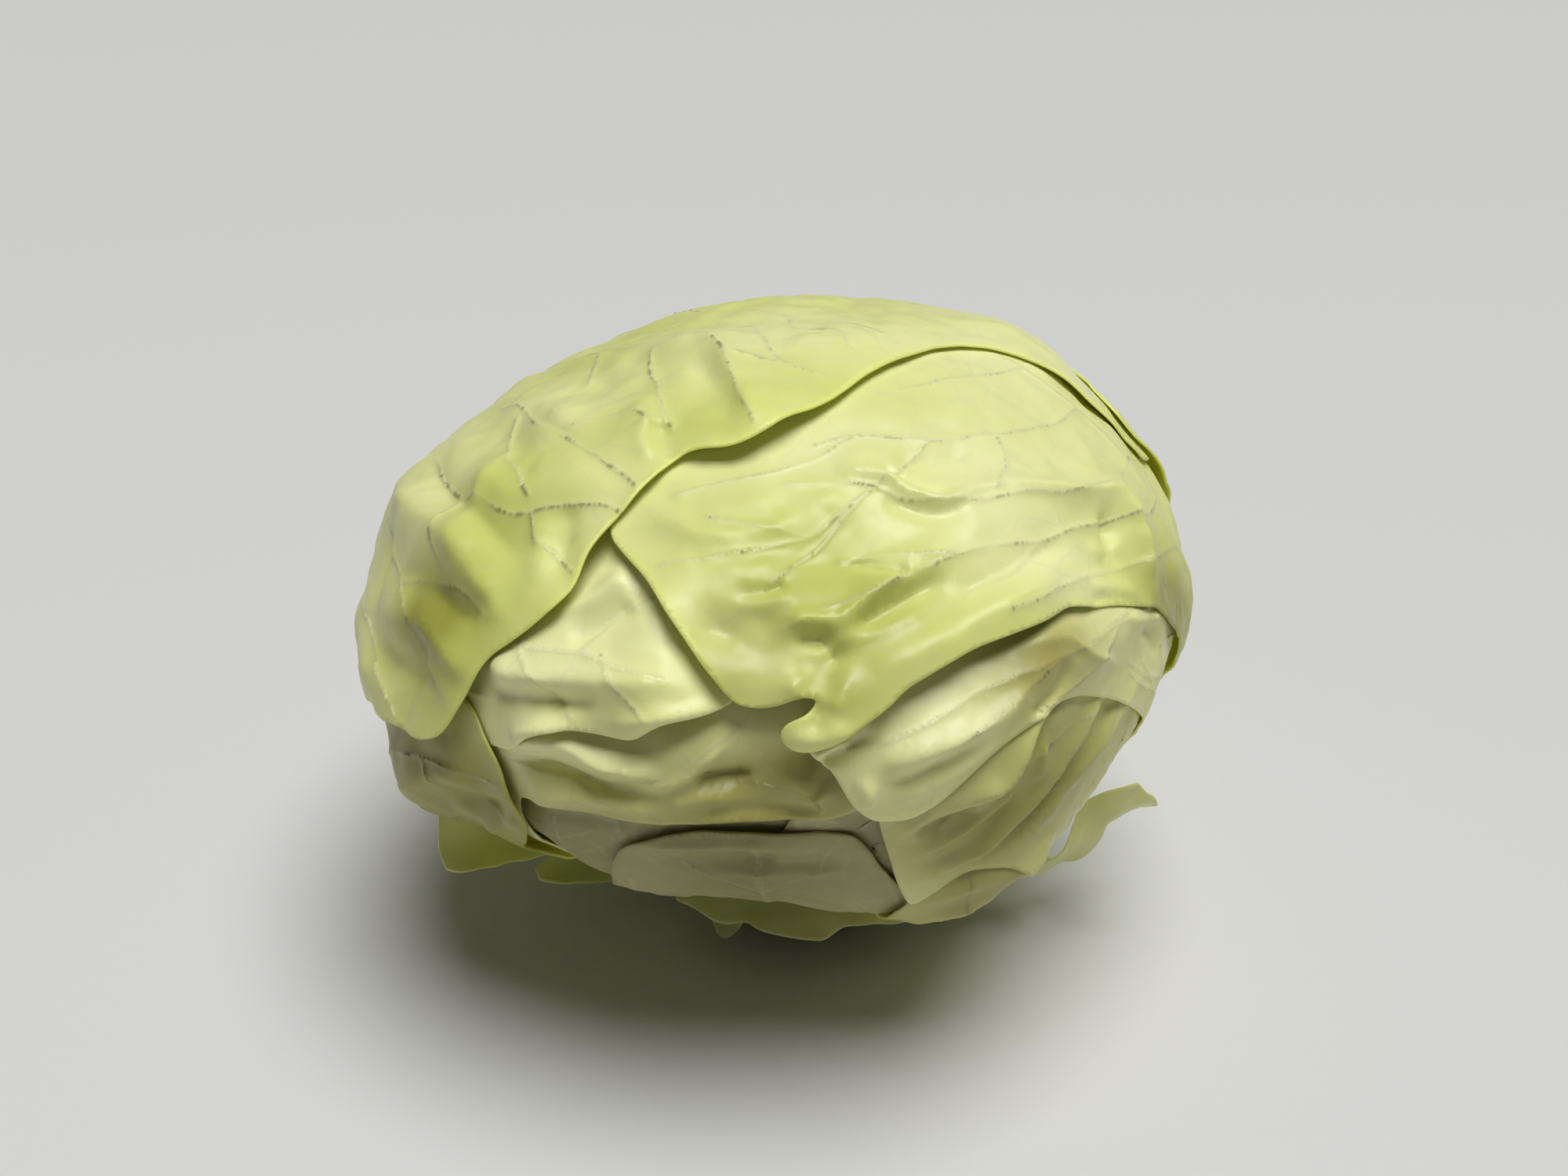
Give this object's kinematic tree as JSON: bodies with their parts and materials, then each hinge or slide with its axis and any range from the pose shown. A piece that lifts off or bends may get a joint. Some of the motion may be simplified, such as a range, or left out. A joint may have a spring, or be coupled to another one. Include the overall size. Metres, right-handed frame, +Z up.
{
  "type": "green cabbage",
  "caption": "Flat-headed green cabbage with loose overlapping pale outer leaves and torn lower leaves, standing on its cut stem.",
  "frame": {"origin": "centre of the flat cut face of the stem, which stands on the surface", "axes": "+Z up out of the surface, -Y towards the side the picture shows, +X to that side's right"},
  "size_m": [0.2296, 0.2348, 0.184],
  "materials": {
    "leaf_green": "satin leaf, yellow-green, a little translucent, with paler veins",
    "leaf_pale": "satin leaf, pale yellow-green",
    "leaf_shade": "satin leaf, greyish pale green",
    "leaf_torn": "thin translucent torn leaf, bright yellow-green",
    "heart_pale": "satin, cream to pale green",
    "stem_cut": "matte, browned at the cut, pale green above"
  },
  "bodies": {
    "root": {"heart": "heart_pale", "stem": "stem_cut", "leaf_under_left": "leaf_shade", "leaf_under_right": "leaf_shade", "leaf_under_front": "leaf_shade", "leaf_front": "leaf_pale", "leaf_left_low": "leaf_green", "leaf_bulge": "leaf_pale", "leaf_fold_lower": "leaf_pale", "leaf_fold_middle": "leaf_pale", "leaf_fold_upper": "leaf_pale", "leaf_right": "leaf_green", "leaf_back": "leaf_green", "leaf_rear": "leaf_green", "torn_lobe_left": "leaf_torn", "torn_tip_left": "leaf_torn", "torn_strip_right": "leaf_torn", "torn_bit_front": "leaf_torn", "torn_collar": "leaf_torn"}
  },
  "joints": []
}
